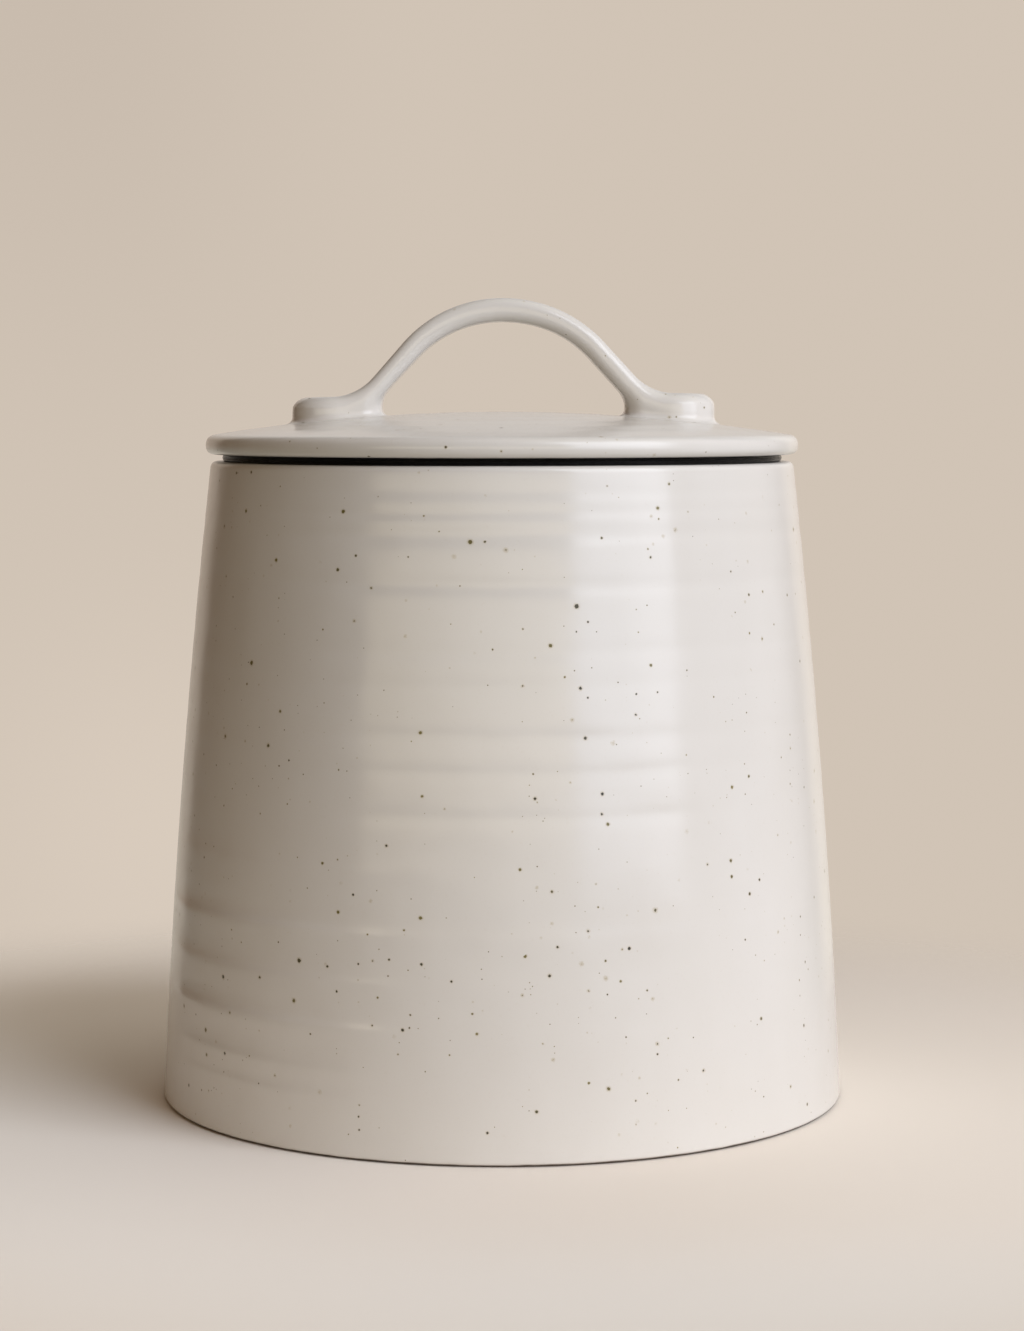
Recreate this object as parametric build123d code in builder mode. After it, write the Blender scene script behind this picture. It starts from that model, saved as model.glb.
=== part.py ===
"""Lidded stoneware butter crock, in millimetres.

The crock stands on the plane Z = 0 with its axis on Z. The lid's handle runs along X.
There are four pieces: the crock, the silicone seal, the lid, and the handle luted to the lid.
"""

import os
from math import cos, radians, sin, tan

from build123d import *

# Crock: driving dimensions
BASE_RADIUS = 90.0  # outside, at the table
RIM_RADIUS = 76.4  # outside, at the mouth
CROCK_HEIGHT = 167.5
WALL_BULGE = 1.4  # how far the wall bows out from a straight cone
BASE_WALL = 6.5  # wall thickness just above the floor
THROAT_RADIUS = 70.4  # straight part of the mouth, which the seal wipes
THROAT_DEPTH = 13.5
FLOOR_THICKNESS = 6.5
FLOOR_CORNER_RADIUS = 12.0
FOOT_RECESS = 2.5  # hollow under the floor, inside the foot ring
FOOT_RING_WIDTH = 12.0
FOOT_BEVEL = 1.2
RIM_OUTER_ROUND = 1.5
RIM_INNER_ROUND = 1.2

# Seal: driving dimensions
SEAL_GAP = 1.8  # seal flange thickness, which holds the lid off the rim
SEAL_FLANGE_RADIUS = 73.4
SEAL_FLANGE_ROUND = 0.75
SEAL_SLEEVE_WALL = 1.6
SEAL_RUNNING_GAP = 0.05  # between the seal and the lid's groove, all round
FIN_TIP_GAP = 0.3  # between the fin tips and the throat
FIN_RISE = 1.5  # how far a fin sweeps up between its root and its tip
FIN_ROOT = 1.3
FIN_TIP = 0.5
FIN_HEIGHTS = (2.2, 6.2)  # fin roots, up from the foot of the sleeve

# Lid: driving dimensions
LID_RADIUS = 77.8
LID_EDGE = 4.8  # edge thickness where the dome would meet the outside
DOME_RISE = 6.3  # crown above the top of the edge
PLATE_THICKNESS = 6.0
EDGE_TOP_ROUND = 2.4
EDGE_BOTTOM_ROUND = 2.0
PLUG_DEPTH = 13.0  # ring that drops into the mouth
PLUG_WALL = 5.3
PLUG_ROUND = 0.8
GROOVE_RADIUS = 66.5  # the seal's seat on the plug
PLUG_LIP = 1.1  # bead below the groove that keeps the seal on
PLUG_LIP_HEIGHT = 2.0

# Handle: driving dimensions
STRAP_THICKNESS = 5.6
STRAP_WIDTH = 14.0  # at the top of the arch, where the strap is narrowest
STRAP_EDGE_ROUND = 2.5
PAD_WIDTH = 22.0
PAD_TOP = 185.1
PAD_OUTER_X = 55.7
PAD_INNER_X = 32.6  # face of the heel that each leg stands on
LEG_X_AT_PAD = 37.18  # where the leg's centre line would meet the pad's
LEG_ANGLE = 47.8  # slope of the legs
ARCH_RADIUS = 33.0
ANKLE_RADIUS = 16.5

# Crock: worked out
floor_top = FOOT_RECESS + FLOOR_THICKNESS
foot_outer = BASE_RADIUS - FOOT_BEVEL
foot_inner = foot_outer - FOOT_RING_WIDTH
throat_foot = CROCK_HEIGHT - THROAT_DEPTH

# Lid: worked out
lid_underside = CROCK_HEIGHT + SEAL_GAP
edge_top = lid_underside + LID_EDGE
crown = edge_top + DOME_RISE
ceiling = crown - PLATE_THICKNESS
dome_radius = (LID_RADIUS**2 + DOME_RISE**2) / (2 * DOME_RISE)
plug_foot = lid_underside - PLUG_DEPTH
plug_outer = GROOVE_RADIUS + PLUG_LIP
plug_bore = plug_outer - PLUG_WALL
groove_foot = plug_foot + PLUG_LIP_HEIGHT

# Seal: worked out
sleeve_inner = GROOVE_RADIUS + SEAL_RUNNING_GAP
sleeve_middle = sleeve_inner + SEAL_SLEEVE_WALL / 2
sleeve_outer = sleeve_inner + SEAL_SLEEVE_WALL
sleeve_foot = groove_foot + SEAL_RUNNING_GAP
flange_top = lid_underside - SEAL_RUNNING_GAP
fin_tip = THROAT_RADIUS - FIN_TIP_GAP

# Handle: worked out. Seen from above it is two round pads joined by a waisted strap,
# and each arc of that outline is tangent to the next.
half_strap = STRAP_WIDTH / 2
pad_radius = PAD_WIDTH / 2
pad_centre = PAD_OUTER_X - pad_radius
waist_radius = (pad_centre**2 + half_strap**2 - pad_radius**2) / (2 * (pad_radius - half_strap))
tangent_share = waist_radius / (waist_radius + pad_radius)
tangent_x = pad_centre * tangent_share
tangent_y = (half_strap + waist_radius) * (1 - tangent_share)
pad_axis = PAD_TOP - STRAP_THICKNESS / 2
leg_angle = radians(LEG_ANGLE)
leg_apex = pad_axis + LEG_X_AT_PAD * tan(leg_angle)

# Heel: the pad reaches in under the leg, up to the line of the leg's underside.
ankle_reach = ANKLE_RADIUS * tan(leg_angle / 2)
leg_under_x = LEG_X_AT_PAD - STRAP_THICKNESS / 2 / sin(leg_angle)
heel_top = pad_axis + (leg_under_x - PAD_INNER_X) * tan(leg_angle)
ankle_top = pad_axis + ankle_reach * sin(leg_angle) - STRAP_THICKNESS / 2 * cos(leg_angle)
ankle_top_x = leg_under_x - (ankle_top - pad_axis) / tan(leg_angle)


def cap_height(radius, sphere_radius, top):
    """Height of a spherical cap, at a distance from the axis."""
    return top - sphere_radius + (sphere_radius**2 - radius**2) ** 0.5


# Crock: one turned profile, from the axis under the floor, round the outside and back inside.
with BuildPart() as crock:
    with BuildSketch(Plane.XZ):
        with BuildLine():
            Polyline(
                (0, floor_top),
                (0, FOOT_RECESS),
                (foot_inner - FOOT_RECESS, FOOT_RECESS),
                (foot_inner, 0),
                (foot_outer, 0),
                (BASE_RADIUS, FOOT_BEVEL),
            )
            SagittaArc((BASE_RADIUS, FOOT_BEVEL), (RIM_RADIUS, CROCK_HEIGHT), -WALL_BULGE)
            Polyline(
                (RIM_RADIUS, CROCK_HEIGHT),
                (THROAT_RADIUS, CROCK_HEIGHT),
                (THROAT_RADIUS, throat_foot),
            )
            SagittaArc(
                (THROAT_RADIUS, throat_foot),
                (BASE_RADIUS - BASE_WALL, floor_top),
                WALL_BULGE,
            )
            Line((BASE_RADIUS - BASE_WALL, floor_top), (0, floor_top))
        profile = make_face()
        rim_corners = profile.vertices().group_by(Axis.Y)[-1].sort_by(Axis.X)
        fillet(rim_corners[0], RIM_INNER_ROUND)
        fillet(rim_corners[-1], RIM_OUTER_ROUND)
        floor_corners = vertices().filter_by(lambda corner: abs(corner.Y - floor_top) < 0.01)
        fillet(floor_corners.sort_by(Axis.X)[-1], FLOOR_CORNER_RADIUS)
    revolve(axis=Axis.Z)

# Seal: a flange that lies on the rim, and a finned sleeve in the lid's groove.
with BuildPart() as seal:
    with BuildSketch(Plane.XZ):
        with BuildLine():
            Polyline(
                (sleeve_inner, sleeve_foot),
                (sleeve_outer, sleeve_foot),
                (sleeve_outer, CROCK_HEIGHT),
                (SEAL_FLANGE_RADIUS, CROCK_HEIGHT),
                (SEAL_FLANGE_RADIUS, flange_top),
                (sleeve_inner, flange_top),
                close=True,
            )
        section = make_face()
        fillet(section.vertices().group_by(Axis.X)[-1], SEAL_FLANGE_ROUND)
        for fin_height in FIN_HEIGHTS:
            fin_foot = sleeve_foot + fin_height
            with BuildLine():
                Polyline(
                    (sleeve_middle, fin_foot),
                    (sleeve_outer, fin_foot),
                    (fin_tip, fin_foot + FIN_RISE),
                    (fin_tip, fin_foot + FIN_RISE + FIN_TIP),
                    (sleeve_outer, fin_foot + FIN_ROOT),
                    (sleeve_middle, fin_foot + FIN_ROOT),
                    close=True,
                )
            make_face()
    revolve(axis=Axis.Z)

# Lid: a domed plate, hollow underneath, with a grooved plug ring.
with BuildPart() as lid:
    with BuildSketch(Plane.XZ):
        with BuildLine():
            ThreePointArc(
                (0, crown),
                (LID_RADIUS / 2, cap_height(LID_RADIUS / 2, dome_radius, crown)),
                (LID_RADIUS, edge_top),
            )
            ceiling_radius = dome_radius - PLATE_THICKNESS
            ceiling_edge = cap_height(plug_bore, ceiling_radius, ceiling)
            Polyline(
                (LID_RADIUS, edge_top),
                (LID_RADIUS, lid_underside),
                (GROOVE_RADIUS, lid_underside),
                (GROOVE_RADIUS, groove_foot),
                (plug_outer, groove_foot),
                (plug_outer, plug_foot),
                (plug_bore, plug_foot),
                (plug_bore, ceiling_edge),
            )
            ThreePointArc(
                (plug_bore, ceiling_edge),
                (plug_bore / 2, cap_height(plug_bore / 2, ceiling_radius, ceiling)),
                (0, ceiling),
            )
            Line((0, ceiling), (0, crown))
        outline = make_face()
        edge_corners = outline.vertices().group_by(Axis.X)[-1].sort_by(Axis.Y)
        fillet(edge_corners[0], EDGE_BOTTOM_ROUND)
        fillet(edge_corners[-1], EDGE_TOP_ROUND)
        fillet(vertices().group_by(Axis.Y)[0], PLUG_ROUND)
    revolve(axis=Axis.Z)

# Handle: the strap's outline from the side, cut to its outline from above and to the dome.
with BuildPart() as handle:
    with BuildSketch(Plane.XZ):
        with BuildLine():
            FilletPolyline(
                (-PAD_OUTER_X, pad_axis),
                (-LEG_X_AT_PAD, pad_axis),
                (0, leg_apex),
                (LEG_X_AT_PAD, pad_axis),
                (PAD_OUTER_X, pad_axis),
                radius=[ANKLE_RADIUS, ARCH_RADIUS, ANKLE_RADIUS],
            )
        trace(line_width=STRAP_THICKNESS)
        for side in (-1, 1):
            with BuildLine():
                Polyline(
                    (side * PAD_OUTER_X, edge_top),
                    (side * PAD_INNER_X, edge_top),
                    (side * PAD_INNER_X, heel_top),
                    (side * ankle_top_x, ankle_top),
                    (side * PAD_OUTER_X, pad_axis),
                    close=True,
                )
            make_face()
    extrude(amount=PAD_WIDTH, both=True)
    with BuildSketch(Plane.XY.offset(edge_top)):
        with BuildLine():
            ThreePointArc((-tangent_x, -tangent_y), (0, -half_strap), (tangent_x, -tangent_y))
            ThreePointArc((tangent_x, -tangent_y), (PAD_OUTER_X, 0), (tangent_x, tangent_y))
            ThreePointArc((tangent_x, tangent_y), (0, half_strap), (-tangent_x, tangent_y))
            ThreePointArc((-tangent_x, tangent_y), (-PAD_OUTER_X, 0), (-tangent_x, -tangent_y))
        make_face()
    extrude(amount=leg_apex - edge_top, mode=Mode.INTERSECT)
    with BuildSketch(Plane.XZ):
        with BuildLine():
            ThreePointArc(
                (0, crown),
                (LID_RADIUS / 2, cap_height(LID_RADIUS / 2, dome_radius, crown)),
                (LID_RADIUS, edge_top),
            )
            Polyline((LID_RADIUS, edge_top), (0, edge_top), (0, crown))
        make_face()
    revolve(axis=Axis.Z, mode=Mode.SUBTRACT)
    long_edges = handle.edges().filter_by(lambda edge: edge.geom_type != GeomType.LINE)
    fillet(long_edges.filter_by(lambda edge: edge.center().Z > crown), STRAP_EDGE_ROUND)

crock.part.label = "crock"
seal.part.label = "seal"
lid.part.label = "lid"
handle.part.label = "handle"

os.makedirs("parts", exist_ok=True)
export_step(crock.part, "parts/crock.step")
export_step(seal.part, "parts/seal.step")
export_step(lid.part, "parts/lid.step")
export_step(handle.part, "parts/handle.step")
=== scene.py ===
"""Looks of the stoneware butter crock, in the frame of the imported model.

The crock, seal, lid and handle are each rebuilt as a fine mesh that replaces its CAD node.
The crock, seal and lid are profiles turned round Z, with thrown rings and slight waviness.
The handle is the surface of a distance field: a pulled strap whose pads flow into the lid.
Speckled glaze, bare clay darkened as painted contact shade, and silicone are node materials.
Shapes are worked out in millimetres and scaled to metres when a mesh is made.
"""

import math

import bpy
import numpy as np
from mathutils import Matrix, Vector


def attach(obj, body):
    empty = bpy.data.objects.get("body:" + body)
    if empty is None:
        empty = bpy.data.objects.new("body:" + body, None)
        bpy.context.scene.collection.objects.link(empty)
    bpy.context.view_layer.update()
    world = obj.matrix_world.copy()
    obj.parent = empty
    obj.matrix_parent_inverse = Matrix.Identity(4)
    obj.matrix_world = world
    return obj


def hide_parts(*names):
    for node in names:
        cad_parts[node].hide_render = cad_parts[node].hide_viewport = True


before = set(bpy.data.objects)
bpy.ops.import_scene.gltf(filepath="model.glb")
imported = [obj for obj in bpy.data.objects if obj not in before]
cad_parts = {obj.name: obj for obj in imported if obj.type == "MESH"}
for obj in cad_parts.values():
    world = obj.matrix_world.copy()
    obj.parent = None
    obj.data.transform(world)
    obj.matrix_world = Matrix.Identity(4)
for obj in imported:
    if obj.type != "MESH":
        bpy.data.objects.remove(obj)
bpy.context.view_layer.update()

MM = 0.001

# ---------------------------------------------------------------- sizes, in millimetres

BASE_RADIUS = 90.0
RIM_RADIUS = 76.4
CROCK_HEIGHT = 167.5
WALL_BULGE = 1.4
INNER_BASE_RADIUS = 83.5
THROAT_RADIUS = 70.4
THROAT_FOOT = 154.0
FLOOR_TOP = 9.0
FOOT_RECESS = 2.5
FOOT_INNER = 76.8

SEAL_RADIUS = 73.4
SLEEVE_INNER = 66.55
SLEEVE_OUTER = 68.15
SLEEVE_FOOT = 158.35
FIN_TIP = 70.1
FIN_HEIGHTS = (2.2, 6.2)

LID_UNDERSIDE = 169.3
LID_RADIUS = 77.8
EDGE_TOP = 174.1
CROWN = 180.4
PLATE_THICKNESS = 6.0
PLUG_FOOT = 156.3
PLUG_BORE = 62.3
PLUG_LIP = 67.6
GROOVE_RADIUS = 66.5
GROOVE_FOOT = 158.3

STRAP_HALF_THICKNESS = 2.8
STRAP_HALF_WIDTH = 7.0
STRAP_EDGE_ROUND = 2.6
PAD_EDGE_ROUND = 3.6
HEEL_CORNER = 5.0
PAD_RADIUS = 11.0
PAD_OUTER_X = 55.7
PAD_AXIS_Z = 182.3
HEEL_X = 31.9
LEG_X = 37.18
LEG_ANGLE = math.radians(47.8)
ARCH_RADIUS = 33.0
ANKLE_RADIUS = 16.5
HEEL_BLEND = 2.2
LID_FILLET = 2.0
LEFT_PAD_DROP = 0.75
RIGHT_PAD_RISE = 0.25
HANDLE_STEP = 0.45

# Thrown rings on the crock's wall: height, how far they stand out, half width, and the
# angle round the axis where they are strongest. Those near the mouth are grooves, those near
# the foot are ledges: a shallow hollow above, a quick rise to the crest and a gentle fall.
# A groove's stand is negative, and goes on all round. A ledge starts quickly on its left
# and fades out slowly to its right.
WALL_GROOVES = (
    (161.0, -0.08, 1.6, 295),
    (156.0, -0.11, 1.5, 265),
    (150.6, -0.19, 2.2, 285),
    (138.6, -0.19, 2.2, 285),
    (123.2, -0.10, 2.0, 285),
    (115.0, -0.09, 2.0, 265),
    (102.4, -0.12, 2.4, 290),
    (94.0, -0.07, 2.0, 270),
    (83.0, -0.06, 2.0, 295),
)
WALL_LEDGES = (
    (69.5, 0.12, 1.9, 210),
    (54.5, 0.46, 1.5, 208),
    (43.2, 0.24, 1.3, 210),
    (31.3, 0.36, 1.4, 211),
    (21.0, 0.12, 1.4, 214),
    (15.0, 0.12, 1.4, 217),
)

DOME_RISE = CROWN - EDGE_TOP
DOME_SPHERE = (LID_RADIUS**2 + DOME_RISE**2) / (2 * DOME_RISE)

# ---------------------------------------------------------------- shape helpers


def smooth_step(low, high, value):
    """0 below low, 1 above high, and a smooth curve between."""
    share = np.clip((value - low) / (high - low), 0.0, 1.0)
    return share * share * (3 - 2 * share)


def waves(seed, count=5):
    """A smooth function of the angle round the axis, from -1 to 1, that closes on itself."""
    local = np.random.default_rng(seed)
    phases = local.uniform(0, 2 * math.pi, count)
    sizes = local.uniform(0.4, 1.0, count) / np.arange(1, count + 1) ** 0.6
    sizes /= sizes.sum()

    def at(angle):
        total = 0.0
        for turn, (size, phase) in enumerate(zip(sizes, phases), start=1):
            total = total + size * np.sin(turn * angle + phase)
        return total

    return at


def outline(corners, step):
    """Points along straight runs with rounded corners. corners are (r, z, rounding)."""
    spots = [np.array(corner[:2], float) for corner in corners]
    points = [spots[0]]

    def run_to(end):
        start = points[-1]
        count = max(1, int(np.ceil(np.linalg.norm(end - start) / step)))
        points.extend(start + (end - start) * i / count for i in range(1, count + 1))

    for before, corner, after in zip(spots, corners[1:-1], spots[2:]):
        here, rounding = np.array(corner[:2], float), corner[2]
        back = (before - here) / np.linalg.norm(before - here)
        ahead = (after - here) / np.linalg.norm(after - here)
        run_to(here + back * rounding)
        if rounding > 0:
            first, last = points[-1], here + ahead * rounding
            count = 3 + int(rounding / 0.25)
            for share in np.arange(1, count + 1) / count:
                curve = (1 - share) ** 2 * first + 2 * share * (1 - share) * here
                points.append(curve + share**2 * last)
    run_to(spots[-1])
    return np.array(points)


def turned(profile, segments, shift=None):
    """Points and faces of a profile turned round Z. shift(r, z, angle) may move them.
    The profile starts and ends on the axis, or else is a closed ring."""
    on_axis = profile[0, 0] < 1e-6
    rows = profile[1:-1] if on_axis else profile
    angles = np.linspace(0, 2 * math.pi, segments, endpoint=False)
    r = np.repeat(rows[:, :1], segments, axis=1)
    z = np.repeat(rows[:, 1:], segments, axis=1)
    if shift is not None:
        r, z = shift(r, z, angles[None, :])
    points = np.stack([r * np.cos(angles), r * np.sin(angles), z], axis=-1).reshape(-1, 3)

    index = np.arange(len(rows) * segments).reshape(len(rows), segments)
    beside = np.roll(index, -1, axis=1)
    corners = [index, beside, np.roll(beside, -1, axis=0), np.roll(index, -1, axis=0)]
    if on_axis:
        corners = [corner[:-1] for corner in corners]
    faces = np.stack(corners, axis=-1).reshape(-1, 4).tolist()
    if on_axis:
        first, last = len(points), len(points) + 1
        points = np.vstack([points, [0, 0, profile[0, 1]], [0, 0, profile[-1, 1]]])
        for here, there in zip(index[0].tolist(), beside[0].tolist()):
            faces.append([first, there, here])
        for here, there in zip(index[-1].tolist(), beside[-1].tolist()):
            faces.append([last, here, there])
    return points, faces


def surface_of(field, low, high, step):
    """Quads on the zero surface of field(points), by surface nets, pulled onto it exactly,
    and the way the surface faces at each point."""
    axes = [np.arange(a, b + step, step) for a, b in zip(low, high)]
    grid = np.stack(np.meshgrid(*axes, indexing="ij"), axis=-1)
    value = field(grid)
    inside = value < 0
    size = np.array(value.shape) - 1
    total, count = np.zeros((*size, 3)), np.zeros(size)
    corners = [np.array([i, j, k]) for i in (0, 1) for j in (0, 1) for k in (0, 1)]

    def at(array, corner):
        return array[tuple(slice(c, c + n) for c, n in zip(corner, size))]

    for a in corners:
        for b in corners:
            if tuple(a) < tuple(b) and abs(a - b).sum() == 1:
                crossed = at(inside, a) != at(inside, b)
                share = at(value, a) / np.where(crossed, at(value, a) - at(value, b), 1)
                spot = at(grid, a) + share[..., None] * (at(grid, b) - at(grid, a))
                total += np.where(crossed[..., None], spot, 0)
                count += crossed
    active = count > 0
    index = np.full(active.shape, -1)
    index[active] = np.arange(active.sum())
    points = total[active] / count[active][:, None]

    faces = []
    for axis in range(3):
        one, two = [other for other in range(3) if other != axis]
        step_one, step_two = np.eye(3, dtype=int)[one], np.eye(3, dtype=int)[two]
        here = inside[tuple(slice(0, n) for n in size)]
        there = np.roll(inside, -1, axis=axis)[tuple(slice(0, n) for n in size)]
        cells = np.argwhere(here != there)
        cells = cells[(cells[:, one] > 0) & (cells[:, two] > 0)]
        around = (cells, cells - step_one, cells - step_one - step_two, cells - step_two)
        quads = np.stack([index[tuple(cell.T)] for cell in around], axis=-1)
        outward = here[tuple(cells.T)] ^ (axis == 1)
        faces.append(np.where(outward[:, None], quads, quads[:, ::-1]))

    def slope_at(spots):
        return np.stack([(field(spots + d) - field(spots - d)) / 0.04 for d in np.eye(3) * 0.02], axis=-1)

    for _ in range(3):
        slope = slope_at(points)
        points = points - (field(points) / np.maximum((slope**2).sum(-1), 0.05))[:, None] * slope
    return points, np.concatenate(faces), slope_at(points)


def make_piece(name, points, faces, body, replaced, material, facing=None):
    """A smooth mesh object that rides on a CAD body and stands for a CAD node."""
    mesh = bpy.data.meshes.new(name)
    mesh.from_pydata((np.asarray(points) * MM).tolist(), [], np.asarray(faces, object).tolist())
    mesh.polygons.foreach_set("use_smooth", [True] * len(mesh.polygons))
    mesh.materials.append(material)
    mesh.update()
    if facing is not None:
        mesh.normals_split_custom_set_from_vertices(facing.tolist())
    piece = bpy.data.objects.new(name, mesh)
    bpy.context.collection.objects.link(piece)
    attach(piece, body)
    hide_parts(replaced)
    return piece


# ---------------------------------------------------------------- node helpers


class Nodes:
    """Short calls that add nodes to a material's or the world's tree and link them."""

    def __init__(self, tree):
        self.tree = tree
        tree.nodes.clear()

    def add(self, kind, **settings):
        node = self.tree.nodes.new(kind)
        for name, value in settings.items():
            setattr(node, name, value)
        return node

    def feed(self, socket, value):
        if isinstance(value, bpy.types.NodeSocket):
            self.tree.links.new(value, socket)
        else:
            socket.default_value = value

    def math(self, operation, *values):
        node = self.add("ShaderNodeMath", operation=operation)
        for socket, value in zip(node.inputs, values):
            self.feed(socket, value)
        return node.outputs[0]

    def fade(self, value, low, high, start=0.0, end=1.0):
        """start where value is low, end where it is high, and a smooth curve between."""
        node = self.add("ShaderNodeMapRange", interpolation_type="SMOOTHSTEP")
        for name, given in zip(("Value", "From Min", "From Max", "To Min", "To Max"),
                               (value, low, high, start, end)):
            self.feed(node.inputs[name], given)
        return node.outputs["Result"]

    def mix(self, share, first, second, blend="MIX"):
        node = self.add("ShaderNodeMix", data_type="RGBA", blend_type=blend)
        self.feed(node.inputs["Factor"], share)
        self.feed(node.inputs[6], first)
        self.feed(node.inputs[7], second)
        return node.outputs[2]

    def noise(self, where, scale, detail=2.0, roughness=0.5, stretch=None):
        if stretch is not None:
            mapping = self.add("ShaderNodeMapping")
            self.feed(mapping.inputs["Vector"], where)
            mapping.inputs["Scale"].default_value = stretch
            where = mapping.outputs["Vector"]
        node = self.add("ShaderNodeTexNoise")
        self.feed(node.inputs["Vector"], where)
        node.inputs["Scale"].default_value = scale
        node.inputs["Detail"].default_value = detail
        node.inputs["Roughness"].default_value = roughness
        return node.outputs["Fac"]

    def bump(self, height, distance, strength=1.0, under=None):
        node = self.add("ShaderNodeBump")
        node.inputs["Strength"].default_value = strength
        node.inputs["Distance"].default_value = distance
        self.feed(node.inputs["Height"], height)
        if under is not None:
            self.feed(node.inputs["Normal"], under)
        return node.outputs["Normal"]


def new_material(name):
    material = bpy.data.materials.new(name)
    material.use_nodes = True
    return material, Nodes(material.node_tree)


def finish_material(nodes, **inputs):
    """Adds the surface shader, feeds it, and links it to the output."""
    shader = nodes.add("ShaderNodeBsdfPrincipled")
    for name, value in inputs.items():
        nodes.feed(shader.inputs[name.replace("_", " ")], value)
    out = nodes.add("ShaderNodeOutputMaterial")
    nodes.tree.links.new(shader.outputs["BSDF"], out.inputs["Surface"])


# ---------------------------------------------------------------- materials


def add_specks(nodes, where, colour, roughness, cells, radius, share, seed):
    """One size of iron speck: dots at some of the points of a cell pattern.
    cells is the number of cells per metre, radius is in metres, share is how many have a dot."""
    moved = nodes.add("ShaderNodeVectorMath", operation="ADD")
    nodes.feed(moved.inputs[0], where)
    moved.inputs[1].default_value = (seed * 0.37, seed * 0.59, seed * 0.83)
    pattern = nodes.add("ShaderNodeTexVoronoi", voronoi_dimensions="3D", feature="F1")
    nodes.feed(pattern.inputs["Vector"], moved.outputs[0])
    pattern.inputs["Scale"].default_value = cells
    chance = nodes.add("ShaderNodeSeparateColor")
    nodes.feed(chance.inputs[0], pattern.outputs["Color"])
    crowding = nodes.fade(nodes.noise(moved.outputs[0], 24.0, 1.0), 0.36, 0.66, 0.25, 1.9)
    limit = nodes.math("MULTIPLY", crowding, share)
    chosen = nodes.math("LESS_THAN", chance.outputs[0], limit)
    size = nodes.math("MULTIPLY_ADD", chance.outputs[1], 0.6 * radius * cells, 0.55 * radius * cells)
    wobble = nodes.noise(where, 2600.0, 1.0)
    reach = nodes.math("MULTIPLY", size, nodes.math("MULTIPLY_ADD", wobble, 0.7, 0.65))
    distance = pattern.outputs["Distance"]
    share_out = nodes.math("DIVIDE", distance, reach)
    near = nodes.fade(share_out, 0.80, 1.0, 1.0, 0.0)
    bleed = nodes.fade(share_out, 0.8, 1.8, 1.0, 0.0)
    dot = nodes.math("MULTIPLY", near, chosen)
    halo = nodes.math("MULTIPLY", nodes.math("MULTIPLY", bleed, chosen), 0.45)
    iron = nodes.mix(chance.outputs[2], (0.012, 0.010, 0.008, 1), (0.150, 0.125, 0.030, 1))
    colour = nodes.mix(halo, colour, (0.36, 0.28, 0.12, 1))
    colour = nodes.mix(dot, colour, iron)
    roughness = nodes.math("MULTIPLY_ADD", dot, 0.2, roughness)
    return colour, roughness


def speckled_glaze(name, speck_share, foot=False):
    """Warm white satin-gloss glaze with iron specks. foot leaves the foot ring bare, its clay darkened as
    painted contact shade.
    """
    material, nodes = new_material(name)
    where = nodes.add("ShaderNodeTexCoord").outputs["Object"]
    cloud = nodes.noise(where, 26.0, 3.0)
    drift = nodes.noise(where, 70.0, 2.0, stretch=(1.0, 1.0, 0.25))
    grain = nodes.noise(where, 1500.0, 2.0)
    colour = nodes.mix(nodes.fade(cloud, 0.2, 0.8), (0.635, 0.613, 0.574, 1), (0.652, 0.632, 0.597, 1))
    colour = nodes.mix(nodes.fade(drift, 0.3, 0.8, 0.0, 0.25), colour, (0.679, 0.662, 0.630, 1))
    colour = nodes.mix(nodes.fade(grain, 0.58, 0.80, 0.0, 0.10), colour, (0.52, 0.46, 0.37, 1))
    roughness = nodes.fade(cloud, 0.3, 0.7, 0.17, 0.21)
    for cells, radius, share, seed in (
        (160.0, 0.00052, 0.30, 1.0),
        (250.0, 0.00040, 0.21, 2.0),
        (400.0, 0.00024, 0.18, 3.0),
        (600.0, 0.00014, 0.15, 4.0),
    ):
        colour, roughness = add_specks(
            nodes, where, colour, roughness, cells, radius, share * speck_share, seed
        )
    if foot:
        height = nodes.add("ShaderNodeSeparateXYZ")
        nodes.feed(height.inputs[0], where)
        edge = nodes.math("MULTIPLY_ADD", nodes.noise(where, 140.0, 2.0), 0.0005, 0.0003)
        glazed = nodes.fade(nodes.math("SUBTRACT", height.outputs[2], edge), -0.0002, 0.0003)
        # Bare clay, darkened to near black as painted shade: it stands in for the contact shadow along the
        # foot.
        clay_with_painted_shade = nodes.mix(nodes.noise(where, 900.0, 3.0), (0.05, 0.036, 0.024, 1), (0.11, 0.08, 0.055, 1))
        colour = nodes.mix(glazed, clay_with_painted_shade, colour)
        roughness = nodes.math("ADD", roughness, nodes.fade(glazed, 0.0, 1.0, 0.5, 0.0))
    slow = nodes.noise(where, 55.0, 1.0)
    peel = nodes.noise(where, 420.0, 2.0)
    normal = nodes.bump(slow, 0.00025)
    normal = nodes.bump(peel, 0.000015, under=normal)
    finish_material(nodes, Base_Color=colour, Roughness=roughness, Normal=normal, IOR=1.5)
    return material


def silicone(name):
    """Near-black silicone with a faint bloom."""
    material, nodes = new_material(name)
    where = nodes.add("ShaderNodeTexCoord").outputs["Object"]
    bloom = nodes.noise(where, 160.0, 4.0, 0.6)
    colour = nodes.mix(nodes.fade(bloom, 0.45, 0.75), (0.0015, 0.0015, 0.0016, 1), (0.005, 0.005, 0.0052, 1))
    roughness = nodes.fade(bloom, 0.3, 0.7, 0.20, 0.25)
    normal = nodes.bump(nodes.noise(where, 1400.0, 2.0), 0.00001)
    finish_material(nodes, Base_Color=colour, Roughness=roughness, Normal=normal, IOR=1.41)
    return material


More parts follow.
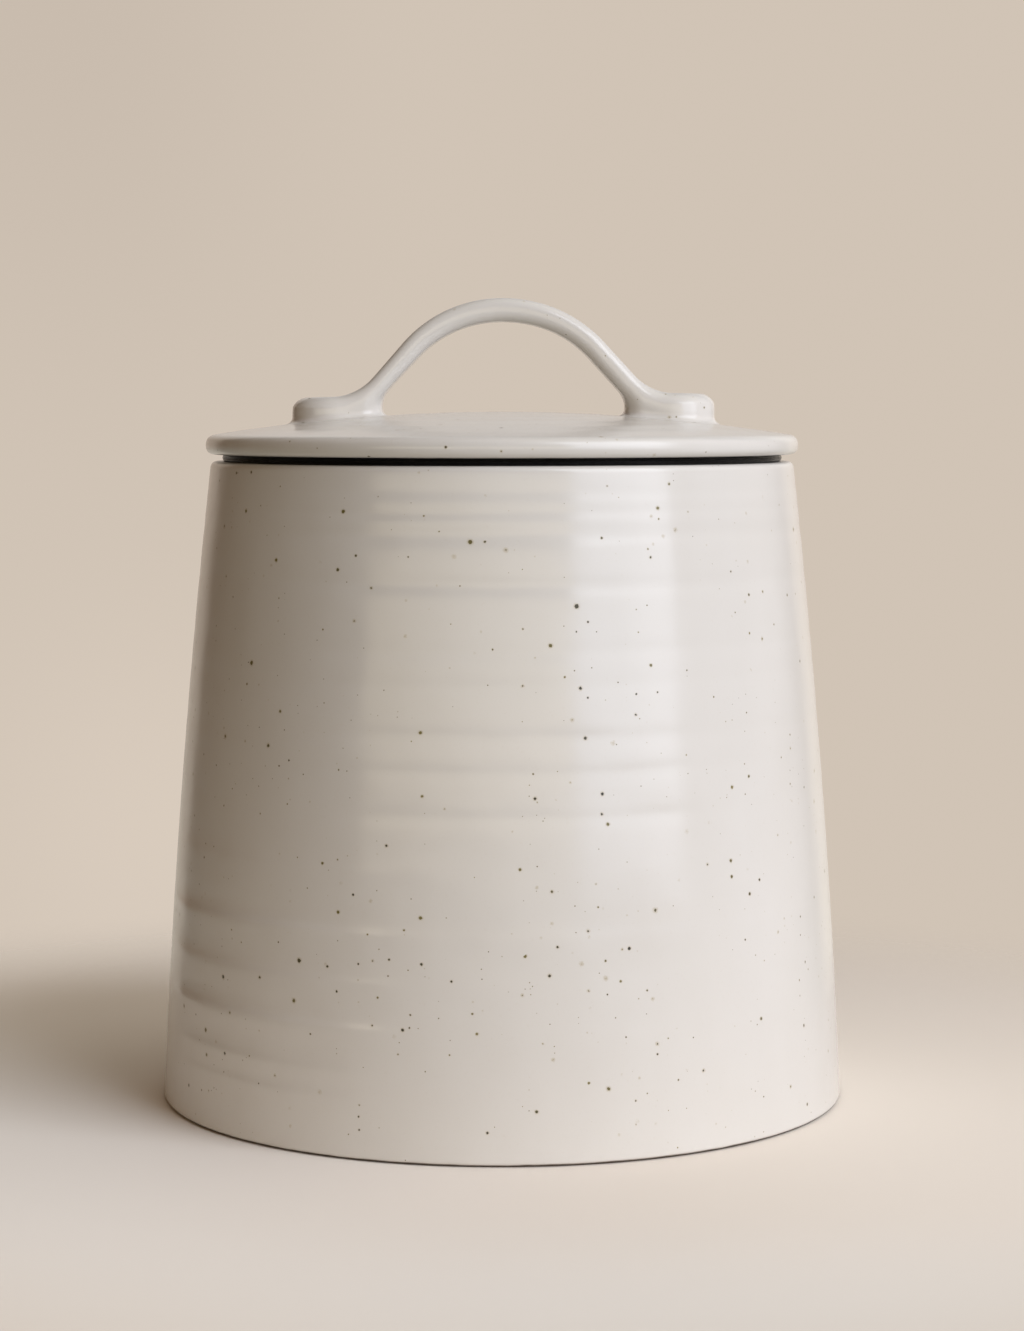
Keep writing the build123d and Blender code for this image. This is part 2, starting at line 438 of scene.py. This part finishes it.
def floor_finish(name, fade_start, fade_end):
    """Pale warm surface with painted light in its colour: warmer behind, cooler in front and a little paler
    at the left. It fades out with distance, so that floor and backdrop meet softly."""
    material, nodes = new_material(name)
    where = nodes.add("ShaderNodeTexCoord").outputs["Object"]
    cloud = nodes.noise(where, 3.0, 2.0)
    place = nodes.add("ShaderNodeSeparateXYZ")
    nodes.feed(place.inputs[0], where)
    # Painted light: warmer behind the front edge, cooler in front, and paler at the left.
    near = nodes.fade(place.outputs[1], -0.12, -0.24)
    left = nodes.fade(place.outputs[0], 0.05, -0.12)
    colour = nodes.mix(near, (0.850, 0.780, 0.695, 1), (0.872, 0.848, 0.802, 1))
    colour = nodes.mix(left, colour, (0.950, 0.905, 0.840, 1))
    colour = nodes.mix(nodes.math("MULTIPLY", cloud, 0.1), colour, (0.92, 0.88, 0.84, 1))
    shader = nodes.add("ShaderNodeBsdfPrincipled")
    nodes.feed(shader.inputs["Base Color"], colour)
    shader.inputs["Roughness"].default_value = 0.75
    shader.inputs["Specular IOR Level"].default_value = 0.15
    nodes.feed(shader.inputs["Normal"], nodes.bump(nodes.noise(where, 700.0, 3.0), 0.00002))
    clear = nodes.add("ShaderNodeBsdfTransparent")
    distance = nodes.add("ShaderNodeVectorMath", operation="LENGTH")
    nodes.feed(distance.inputs[0], where)
    away = nodes.fade(distance.outputs["Value"], fade_start, fade_end)
    both = nodes.add("ShaderNodeMixShader")
    nodes.feed(both.inputs[0], away)
    nodes.tree.links.new(shader.outputs[0], both.inputs[1])
    nodes.tree.links.new(clear.outputs[0], both.inputs[2])
    out = nodes.add("ShaderNodeOutputMaterial")
    nodes.tree.links.new(both.outputs[0], out.inputs["Surface"])
    return material


crock_glaze = speckled_glaze("crock_glaze", 1.0, foot=True)
lid_glaze = speckled_glaze("lid_glaze", 0.75)
seal_silicone = silicone("seal_silicone")

# ---------------------------------------------------------------- crock


def cone_radius(z):
    """Outside of the crock's wall without its bulge."""
    return BASE_RADIUS + (RIM_RADIUS - BASE_RADIUS) * z / CROCK_HEIGHT


def groove_shape(up):
    """Height of a groove's section at up half widths above its middle."""
    return np.exp(-(up**2))


def ledge_shape(up):
    """Height of a ledge's section at up half widths above its crest."""
    crest = np.exp(-(np.where(up < 0, up / 2.4, up / 0.8) ** 2))
    return crest - 0.45 * np.exp(-(((up - 2.6) / 1.9) ** 2))


wall_rings = [(*ring, groove_shape) for ring in WALL_GROOVES]
wall_rings += [(*ring, ledge_shape) for ring in WALL_LEDGES]
ring_slants = [waves(60 + number, 3) for number in range(len(wall_rings))]
wall_wobble = waves(3, 3)
rim_wobble = waves(4, 4)


def shift_crock(r, z, angle):
    """Bows the wall, presses the thrown rings into it, and makes it a little uneven."""
    t = np.clip(z / CROCK_HEIGHT, 0, 1)
    bow = WALL_BULGE * 4 * t * (1 - t)
    outside = smooth_step(-3.0, -0.9, r - cone_radius(z))
    on_wall = smooth_step(2.0, 9.0, z) * smooth_step(167.0, 162.0, z)
    inner_t = np.clip((z - FLOOR_TOP) / (THROAT_FOOT - FLOOR_TOP), 0, 1)
    inner_bow = WALL_BULGE * 4 * inner_t * (1 - inner_t)
    rings = np.zeros(np.broadcast(z, angle).shape)
    for (height, stand, width, strongest, shape), slant in zip(wall_rings, ring_slants):
        from_strongest = angle - math.radians(strongest)
        if shape is groove_shape:
            nearness = 0.5 + 0.5 * np.cos(from_strongest)
            share = 0.2 + 0.8 * nearness**2
        else:
            past = (from_strongest + math.pi) % (2 * math.pi) - math.pi
            share = 0.05 + smooth_step(-0.32, -0.06, past) * smooth_step(0.88, 0.22, past)
        rings += stand * share * shape((z - height - 0.6 * slant(angle)) / width)
    inner_rings = 0.16 * np.sin(z / 1.9 + angle) * smooth_step(22, 34, z)
    inner_rings *= smooth_step(152, 140, z)
    moved = bow * outside + (rings + 0.12 * wall_wobble(angle)) * on_wall * outside
    inner = (1 - outside) * smooth_step(60.0, 68.0, r) * smooth_step(FLOOR_TOP, 20.0, z)
    moved = moved + (inner_bow + inner_rings) * inner * smooth_step(154.5, 152.0, z)
    near_rim = smooth_step(150, 167, z)
    return r + moved, z + (0.10 * rim_wobble(angle) - 0.05) * near_rim


crock_profile = outline(
    (
        (0, FOOT_RECESS, 0),
        (FOOT_INNER - 2.5, FOOT_RECESS, 1.0),
        (FOOT_INNER, 0.0, 0.8),
        (BASE_RADIUS - 0.9, 0.0, 0.3),
        (BASE_RADIUS - 0.06, 0.8, 0.4),
        (RIM_RADIUS, CROCK_HEIGHT, 1.6),
        (THROAT_RADIUS, CROCK_HEIGHT, 1.5),
        (THROAT_RADIUS, THROAT_FOOT, 2.0),
        (INNER_BASE_RADIUS, FLOOR_TOP, 13.0),
        (0, FLOOR_TOP, 0),
    ),
    0.6,
)
points, faces = turned(crock_profile, 448, shift_crock)
make_piece("crock_thrown", points, faces, "crock", "crock", crock_glaze)

# ---------------------------------------------------------------- seal

fins = []
for fin_height in FIN_HEIGHTS:
    fin_foot = SLEEVE_FOOT + fin_height
    fins += [
        (SLEEVE_OUTER, fin_foot, 0.2),
        (FIN_TIP, fin_foot + 1.5, 0.2),
        (FIN_TIP, fin_foot + 2.0, 0.2),
        (SLEEVE_OUTER, fin_foot + 1.3, 0.2),
    ]
seal_middle = (CROCK_HEIGHT + LID_UNDERSIDE) / 2
seal_profile = outline(
    (
        (SLEEVE_INNER + 0.8, SLEEVE_FOOT, 0),
        (SLEEVE_OUTER, SLEEVE_FOOT, 0.4),
        *fins,
        (SLEEVE_OUTER, CROCK_HEIGHT + 0.02, 0.3),
        (SEAL_RADIUS, CROCK_HEIGHT + 0.02, 0.75),
        (SEAL_RADIUS, seal_middle - 0.12, 0.05),
        (SEAL_RADIUS + 0.12, seal_middle, 0.05),
        (SEAL_RADIUS, seal_middle + 0.12, 0.05),
        (SEAL_RADIUS, LID_UNDERSIDE - 0.05, 0.75),
        (SLEEVE_INNER, LID_UNDERSIDE - 0.05, 0.2),
        (SLEEVE_INNER, SLEEVE_FOOT, 0.3),
        (SLEEVE_INNER + 0.8, SLEEVE_FOOT, 0),
    ),
    0.6,
)[:-1]
points, faces = turned(seal_profile, 256)
make_piece("seal_ring", points, faces, "seal", "seal", seal_silicone)

# ---------------------------------------------------------------- lid

edge_wobble = waves(5, 4)
top_wobble = waves(6, 3)


def dome_height(r, inset=0.0):
    """Height of the lid's dome at a distance from the axis, or of a surface inset under it."""
    sphere = DOME_SPHERE - inset
    return CROWN - DOME_SPHERE + np.sqrt(sphere**2 - r**2)


def dome_lift(r, angle):
    """Faint thrown rings on the dome, fading towards the middle and the edge."""
    rings = 0.035 * np.sin(r / 1.75 + 0.6 * top_wobble(angle))
    return rings * smooth_step(6, 20, r) * smooth_step(76, 62, r) - 0.06


def shift_lid(r, z, angle):
    """Adds the faint rings on top and a slightly uneven edge."""
    top = smooth_step(-1.0, -0.2, z - dome_height(np.minimum(r, LID_RADIUS)))
    edge = smooth_step(74.0, 77.0, r)
    return r + (0.10 * edge_wobble(angle) - 0.08) * edge, z + dome_lift(r, angle) * top


dome_corners = [(r, dome_height(r), 0) for r in np.arange(73.6, 0.0, -0.8)]
ceiling_corners = [
    (r, dome_height(r, PLATE_THICKNESS), 0) for r in np.arange(0.0, PLUG_BORE - 1.5, 0.8)
]
lid_profile = outline(
    (
        *ceiling_corners,
        (PLUG_BORE, dome_height(PLUG_BORE, PLATE_THICKNESS), 1.0),
        (PLUG_BORE, PLUG_FOOT, 0.8),
        (PLUG_LIP, PLUG_FOOT, 0.8),
        (PLUG_LIP, GROOVE_FOOT, 0.3),
        (GROOVE_RADIUS, GROOVE_FOOT, 0.3),
        (GROOVE_RADIUS, LID_UNDERSIDE, 0.3),
        (LID_RADIUS, LID_UNDERSIDE, 2.3),
        (LID_RADIUS, EDGE_TOP, 2.45),
        *dome_corners,
        (0, CROWN, 0),
    ),
    0.6,
)
points, faces = turned(lid_profile, 384, shift_lid)
make_piece("lid_thrown", points, faces, "lid", "lid", lid_glaze)

# ---------------------------------------------------------------- handle

waist_radius = (
    ((PAD_OUTER_X - PAD_RADIUS) ** 2 + STRAP_HALF_WIDTH**2 - PAD_RADIUS**2)
    / (2 * (PAD_RADIUS - STRAP_HALF_WIDTH))
)
ankle_reach = ANKLE_RADIUS * math.tan(LEG_ANGLE / 2)
ankle_middle = np.array([LEG_X + ankle_reach, PAD_AXIS_Z + ANKLE_RADIUS])
arch_middle = np.array([0.0, PAD_AXIS_Z + LEG_X * math.tan(LEG_ANGLE) - ARCH_RADIUS / math.cos(LEG_ANGLE)])
leg_foot = ankle_middle + ANKLE_RADIUS * np.array([-math.sin(LEG_ANGLE), -math.cos(LEG_ANGLE)])
leg_head = arch_middle + ARCH_RADIUS * np.array([math.sin(LEG_ANGLE), math.cos(LEG_ANGLE)])


def soft_min(a, b, blend):
    """The smaller of two distances, with a fillet where they meet."""
    h = np.maximum(blend - np.abs(a - b), 0.0) / blend
    return np.minimum(a, b) - h * h * blend / 4


def rounded_both(a, b, rounding):
    """Inside both distances, with the edge between them rounded."""
    a, b = a + rounding, b + rounding
    outside = np.hypot(np.maximum(a, 0), np.maximum(b, 0))
    return np.minimum(np.maximum(a, b), 0) + outside - rounding


def to_segment(x, z, start, end):
    """Distance in the XZ plane to a straight run."""
    along = (end - start) / np.linalg.norm(end - start)
    reach = np.clip((x - start[0]) * along[0] + (z - start[1]) * along[1], 0, np.linalg.norm(end - start))
    return np.hypot(x - start[0] - along[0] * reach, z - start[1] - along[1] * reach)


def to_spine(x, z):
    """Distance in the XZ plane to the strap's centre line, for x of 0 or more."""
    far = 1000.0
    arch_angle = np.arctan2(x - arch_middle[0], z - arch_middle[1])
    arch = np.abs(np.hypot(x - arch_middle[0], z - arch_middle[1]) - ARCH_RADIUS)
    arch = np.where(arch_angle <= LEG_ANGLE, arch, far)
    ankle_angle = np.arctan2(ankle_middle[0] - x, ankle_middle[1] - z)
    ankle = np.abs(np.hypot(x - ankle_middle[0], z - ankle_middle[1]) - ANKLE_RADIUS)
    ankle = np.where((ankle_angle >= 0) & (ankle_angle <= LEG_ANGLE), ankle, far)
    leg = to_segment(x, z, leg_foot, leg_head)
    pad = to_segment(x, z, np.array([ankle_middle[0], PAD_AXIS_Z]), np.array([PAD_OUTER_X + 5, PAD_AXIS_Z]))
    return np.minimum(np.minimum(arch, ankle), np.minimum(leg, pad))


def above_pad(x, z):
    """Distance above the upper face of the pad and the ankle, for x of 0 or more."""
    ankle = ANKLE_RADIUS - STRAP_HALF_THICKNESS - np.hypot(x - ankle_middle[0], z - ankle_middle[1])
    ankle = np.maximum(ankle, z - ankle_middle[1] + 2.0)
    return np.where(x < ankle_middle[0], ankle, z - PAD_AXIS_Z - STRAP_HALF_THICKNESS)


def in_plan(x, y):
    """Distance outside the handle's outline seen from above, for x of 0 or more."""
    waist = waist_radius - np.hypot(x, np.abs(y) - STRAP_HALF_WIDTH - waist_radius)
    pad = np.hypot(x - (PAD_OUTER_X - PAD_RADIUS), y) - PAD_RADIUS
    share = waist_radius / (waist_radius + PAD_RADIUS)
    return np.where(x < (PAD_OUTER_X - PAD_RADIUS) * share, waist, pad)


def handle_field(points):
    """Distance outside the strap, its pads and the dome under them, all flowing together.
    The hand that pulled it left the left pad lower, the crest thicker and the left leg thinner."""
    x, y, z = points[..., 0], points[..., 1], points[..., 2]
    pressed = smooth_step(26.0, 46.0, np.abs(x)) * np.where(x < 0, LEFT_PAD_DROP, -RIGHT_PAD_RISE)
    crest = 0.25 * np.exp(-((x / 16.0) ** 2))
    thin = 0.30 * np.exp(-(((x + 31.0) / 8.0) ** 2))
    strap_x = np.abs(x) - 0.35 * np.tanh(x / 12.0)
    strap_z = z + pressed + crest
    plan = in_plan(strap_x, y)
    on_pad = smooth_step(34.0, 48.0, np.abs(x))
    plan = plan + 0.15 * (strap_z - PAD_AXIS_Z + 2.0) * on_pad
    across = to_spine(strap_x, strap_z) - STRAP_HALF_THICKNESS - crest + thin
    edge_round = STRAP_EDGE_ROUND + (PAD_EDGE_ROUND - STRAP_EDGE_ROUND) * on_pad
    strap = rounded_both(across, plan, edge_round)
    thumb = np.exp(-(((np.abs(x) - 46.5) / 6.5) ** 2) - (y / 6.0) ** 2)
    strap = strap + 0.45 * thumb * smooth_step(183.0, 184.5, strap_z)
    heel = rounded_both(HEEL_X - strap_x, plan + 0.4, HEEL_CORNER)
    heel = rounded_both(heel, above_pad(strap_x, strap_z) + 2.4, 3.0)
    r, angle = np.hypot(x, y), np.arctan2(y, x)
    lid_top = z - dome_height(np.minimum(r, LID_RADIUS)) - dome_lift(r, angle)
    return soft_min(soft_min(strap, heel, HEEL_BLEND), lid_top, LID_FILLET)


handle_low = (-59.0, -14.5, 175.5)
handle_high = (59.0, 14.5, 211.0)
points, faces, facing = surface_of(handle_field, handle_low, handle_high, HANDLE_STEP)
facing /= np.linalg.norm(facing, axis=1)[:, None]
r, angle = np.hypot(points[:, 0], points[:, 1]), np.arctan2(points[:, 1], points[:, 0])
above_lid = points[:, 2] - dome_height(r) - dome_lift(r, angle)
# Only the handle is kept of the surface, and its edge is tucked just under the lid's top.
faces = faces[(above_lid[faces] > 0.02).any(axis=1)]
used, faces = np.unique(faces, return_inverse=True)
faces = faces.reshape(-1, 4)
points, facing = points[used], facing[used]
points[:, 2] -= 0.06 * smooth_step(0.12, 0.03, above_lid[used])
make_piece("handle_pulled", points, faces, "lid", "handle", lid_glaze, facing)

# ---------------------------------------------------------------- floor, backdrop and light


def direction(turn, lift):
    """Unit vector towards a light. turn is from the camera's side towards +X, in degrees."""
    turn, lift = math.radians(turn), math.radians(lift)
    return Vector((math.sin(turn) * math.cos(lift), -math.cos(turn) * math.cos(lift), math.sin(lift)))


AIM = Vector((0.0, 0.0, 0.10))


def soft_box(name, turn, lift, distance, width, height, radiance):
    """A flat studio light aimed at the crock. radiance is how bright its face is, as a colour."""
    light = bpy.data.lights.new(name, "AREA")
    light.shape = "RECTANGLE"
    light.size = width
    light.size_y = height
    light.energy = max(radiance) * math.pi * width * height
    light.color = [part / max(radiance) for part in radiance]
    lamp = bpy.data.objects.new(name, light)
    lamp.location = AIM + direction(turn, lift) * distance
    lamp.rotation_euler = (-direction(turn, lift)).to_track_quat("-Z", "Y").to_euler()
    lamp.visible_camera = False
    bpy.context.collection.objects.link(lamp)
    return lamp


# How bright each light's face is, as a colour: a large cool box at the right, its lower part,
# and a wide warm strip in front.
KEY = (4.08, 4.30, 4.72)
KEY_LOW = (2.80, 2.98, 3.38)
FILL = (2.02, 1.78, 1.30)
# The dim room round the crock: its colour all round, and then each brighter part of it:
# where it is, how wide, and what it adds.
ROOM_SHADE = (0.07, 0.02, 0.0)
ROOM = (
    ((0.0, 1.0, 0.05), 0.74, 0.85, (0.56, 0.50, 0.43)),
    ((0.15, 0.8, 0.60), 0.75, 0.98, (0.14, 0.20, 0.24)),
    ((0.3, 0.1, 1.0), 0.80, 0.99, (0.54, 0.54, 0.38)),
    ((0.6, 0.0, 0.8), 0.75, 0.98, (0.23, 0.22, 0.24)),
    ((1.0, 0.0, 0.15), 0.60, 0.97, (0.58, 0.54, 0.55)),
    ((0.75, 0.7, 0.1), 0.75, 0.97, (0.24, 0.22, 0.17)),
    ((0.0, 0.0, -1.0), -0.02, 0.20, (0.08, 0.13, 0.13)),
)
# The backdrop that only the camera sees, with painted shade darkening its top left corner and
# painted light brightening it beside the foot.
BACKDROP = (0.636, 0.551, 0.466)
BACKDROP_PAINTED_SHADE = (0.585, 0.503, 0.424)
BACKDROP_PAINTED_LIGHT = (0.690, 0.598, 0.508)
PAINTED_LIGHT_TOWARDS = (-0.105, 0.985, -0.135)

soft_box("key", 47.0, 36.0, 1.6, 1.14, 1.15, KEY)
soft_box("key_low", 45.0, 8.0, 1.6, 1.12, 0.52, KEY_LOW)
soft_box("fill", -12.0, 6.5, 1.7, 2.55, 0.40, FILL)


def build_world():
    """The backdrop that the camera sees, and the dim room that lights and is reflected."""
    world = bpy.data.worlds.new("studio")
    world.use_nodes = True
    bpy.context.scene.world = world
    nodes = Nodes(world.node_tree)
    where = nodes.add("ShaderNodeTexCoord").outputs["Generated"]
    parts = nodes.add("ShaderNodeSeparateXYZ")
    nodes.feed(parts.inputs[0], where)
    across, _, up = parts.outputs

    # Painted shade at the backdrop's top left corner, then painted light beside the foot.
    corner = nodes.math("MULTIPLY", nodes.fade(up, -0.06, 0.13), nodes.fade(across, -0.02, -0.14))
    seen = nodes.mix(corner, (*BACKDROP, 1), (*BACKDROP_PAINTED_SHADE, 1))
    gap = nodes.add("ShaderNodeVectorMath", operation="DISTANCE")
    nodes.feed(gap.inputs[0], where)
    gap.inputs[1].default_value = PAINTED_LIGHT_TOWARDS
    seen = nodes.mix(nodes.fade(gap.outputs["Value"], 0.11, 0.0), seen, (*BACKDROP_PAINTED_LIGHT, 1))

    room = (*ROOM_SHADE, 1)
    for towards, rim, heart, colour in ROOM:
        facing = nodes.add("ShaderNodeVectorMath", operation="DOT_PRODUCT")
        nodes.feed(facing.inputs[0], where)
        facing.inputs[1].default_value = Vector(towards).normalized()
        share = nodes.fade(facing.outputs["Value"], rim, heart)
        room = nodes.mix(share, room, (*colour, 1), "ADD")

    path = nodes.add("ShaderNodeLightPath")
    background = nodes.add("ShaderNodeBackground")
    nodes.feed(background.inputs["Color"], nodes.mix(path.outputs["Is Camera Ray"], room, seen))
    out = nodes.add("ShaderNodeOutputWorld")
    nodes.tree.links.new(background.outputs[0], out.inputs["Surface"])


def build_floor():
    """A wide pale disc just under the foot."""
    disc = bpy.data.meshes.new("floor")
    radius, drop, segments = 2.4, 0.00005, 96
    angles = np.linspace(0, 2 * math.pi, segments, endpoint=False)
    corners = [(radius * math.cos(a), radius * math.sin(a), -drop) for a in angles]
    disc.from_pydata(corners, [], [list(range(segments))])
    disc.materials.append(floor_finish("floor_paper", 0.165, 0.32))
    floor = bpy.data.objects.new("floor", disc)
    bpy.context.collection.objects.link(floor)


build_world()
build_floor()

# ---------------------------------------------------------------- camera

PITCH = math.radians(4.71)

camera_data = bpy.data.cameras.new("camera")
camera_data.lens = 84.5
camera_data.sensor_width = 36.0
camera = bpy.data.objects.new("camera", camera_data)
camera.location = (0.0026, -0.8255, 0.1813)
camera.rotation_euler = (math.pi / 2 - PITCH, 0.0, 0.0)
bpy.context.collection.objects.link(camera)
bpy.context.scene.camera = camera
bpy.context.scene.view_settings.view_transform = "Standard"
